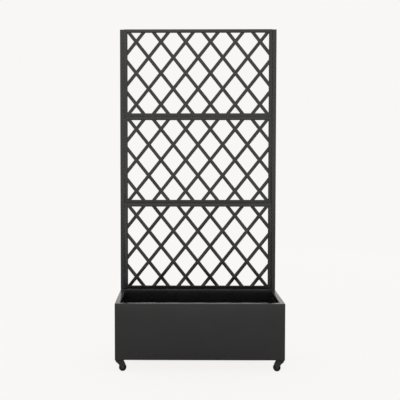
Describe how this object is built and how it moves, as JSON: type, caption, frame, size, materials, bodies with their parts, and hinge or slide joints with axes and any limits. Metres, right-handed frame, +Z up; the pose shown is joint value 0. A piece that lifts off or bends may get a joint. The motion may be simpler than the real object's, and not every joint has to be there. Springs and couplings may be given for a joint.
{
  "type": "planter with privacy screen",
  "caption": "Rectangular steel planter box on swivel casters with a tall diamond-lattice trellis screen standing along its rear edge.",
  "frame": {"origin": "on the floor under the middle of the box", "axes": "+Z up, +Y towards the rear where the screen stands, +X to the right seen from the front"},
  "size_m": [0.8, 0.35, 1.663],
  "materials": {
    "powder_coat": "fine-textured black powder coat, semi-gloss",
    "caster_steel": "smooth black coated pressed steel",
    "black_screws": "black zinc plated",
    "zinc_steel": "bright zinc plated, hidden inside",
    "black_plastic": "fine-grained moulded plastic",
    "black_rubber": "matt moulded rubber"
  },
  "bodies": {
    "planter": {"front_wall": "powder_coat", "rear_wall": "powder_coat", "left_wall": "powder_coat", "right_wall": "powder_coat", "base_tray": "powder_coat", "left_spigot": "powder_coat", "right_spigot": "powder_coat", "left_post": "powder_coat", "right_post": "powder_coat", "left_post_cap": "black_plastic", "right_post_cap": "black_plastic", "post_lock_screws": "black_screws", "post_lock_nuts": "zinc_steel", "bottom_lattice": "powder_coat", "bottom_lower_rail": "powder_coat", "bottom_upper_rail": "powder_coat", "bottom_left_stile": "powder_coat", "bottom_right_stile": "powder_coat", "middle_lattice": "powder_coat", "middle_lower_rail": "powder_coat", "middle_upper_rail": "powder_coat", "middle_left_stile": "powder_coat", "middle_right_stile": "powder_coat", "top_lattice": "powder_coat", "top_lower_rail": "powder_coat", "top_upper_rail": "powder_coat", "top_left_stile": "powder_coat", "top_right_stile": "powder_coat", "panel_screws": "black_screws", "panel_inserts": "zinc_steel", "plate_front_left": "caster_steel", "plate_front_right": "caster_steel", "plate_rear_left": "caster_steel", "plate_rear_right": "caster_steel", "kingpin_front_left": "caster_steel", "kingpin_front_right": "caster_steel", "kingpin_rear_left": "caster_steel", "kingpin_rear_right": "caster_steel", "plate_screws": "black_screws", "plate_nuts": "zinc_steel"},
    "caster_front_left": {"fork_front_left": "caster_steel", "axle_front_left": "caster_steel"},
    "roller_front_left": {"wheel_front_left": "black_plastic", "tyre_front_left": "black_rubber"},
    "caster_front_right": {"fork_front_right": "caster_steel", "axle_front_right": "caster_steel"},
    "roller_front_right": {"wheel_front_right": "black_plastic", "tyre_front_right": "black_rubber"},
    "caster_rear_left": {"fork_rear_left": "caster_steel", "axle_rear_left": "caster_steel"},
    "roller_rear_left": {"wheel_rear_left": "black_plastic", "tyre_rear_left": "black_rubber"},
    "caster_rear_right": {"fork_rear_right": "caster_steel", "axle_rear_right": "caster_steel"},
    "roller_rear_right": {"wheel_rear_right": "black_plastic", "tyre_rear_right": "black_rubber"}
  },
  "joints": [
    {"name": "swivel_front_left", "type": "hinge", "parent": "planter", "child": "caster_front_left", "pos_m": [-0.379, -0.154, 0.05], "axis": [0, 0, 1], "continuous": true},
    {"name": "roll_front_left", "type": "hinge", "parent": "caster_front_left", "child": "roller_front_left", "pos_m": [-0.3645, -0.154, 0.0175], "axis": [0, 1, 0], "continuous": true},
    {"name": "swivel_front_right", "type": "hinge", "parent": "planter", "child": "caster_front_right", "pos_m": [0.379, -0.154, 0.05], "axis": [0, 0, 1], "continuous": true},
    {"name": "roll_front_right", "type": "hinge", "parent": "caster_front_right", "child": "roller_front_right", "pos_m": [0.3645, -0.154, 0.0175], "axis": [0, 1, 0], "continuous": true},
    {"name": "swivel_rear_left", "type": "hinge", "parent": "planter", "child": "caster_rear_left", "pos_m": [-0.379, 0.154, 0.05], "axis": [0, 0, 1], "continuous": true},
    {"name": "roll_rear_left", "type": "hinge", "parent": "caster_rear_left", "child": "roller_rear_left", "pos_m": [-0.3645, 0.154, 0.0175], "axis": [0, 1, 0], "continuous": true},
    {"name": "swivel_rear_right", "type": "hinge", "parent": "planter", "child": "caster_rear_right", "pos_m": [0.379, 0.154, 0.05], "axis": [0, 0, 1], "continuous": true},
    {"name": "roll_rear_right", "type": "hinge", "parent": "caster_rear_right", "child": "roller_rear_right", "pos_m": [0.3645, 0.154, 0.0175], "axis": [0, 1, 0], "continuous": true}
  ]
}
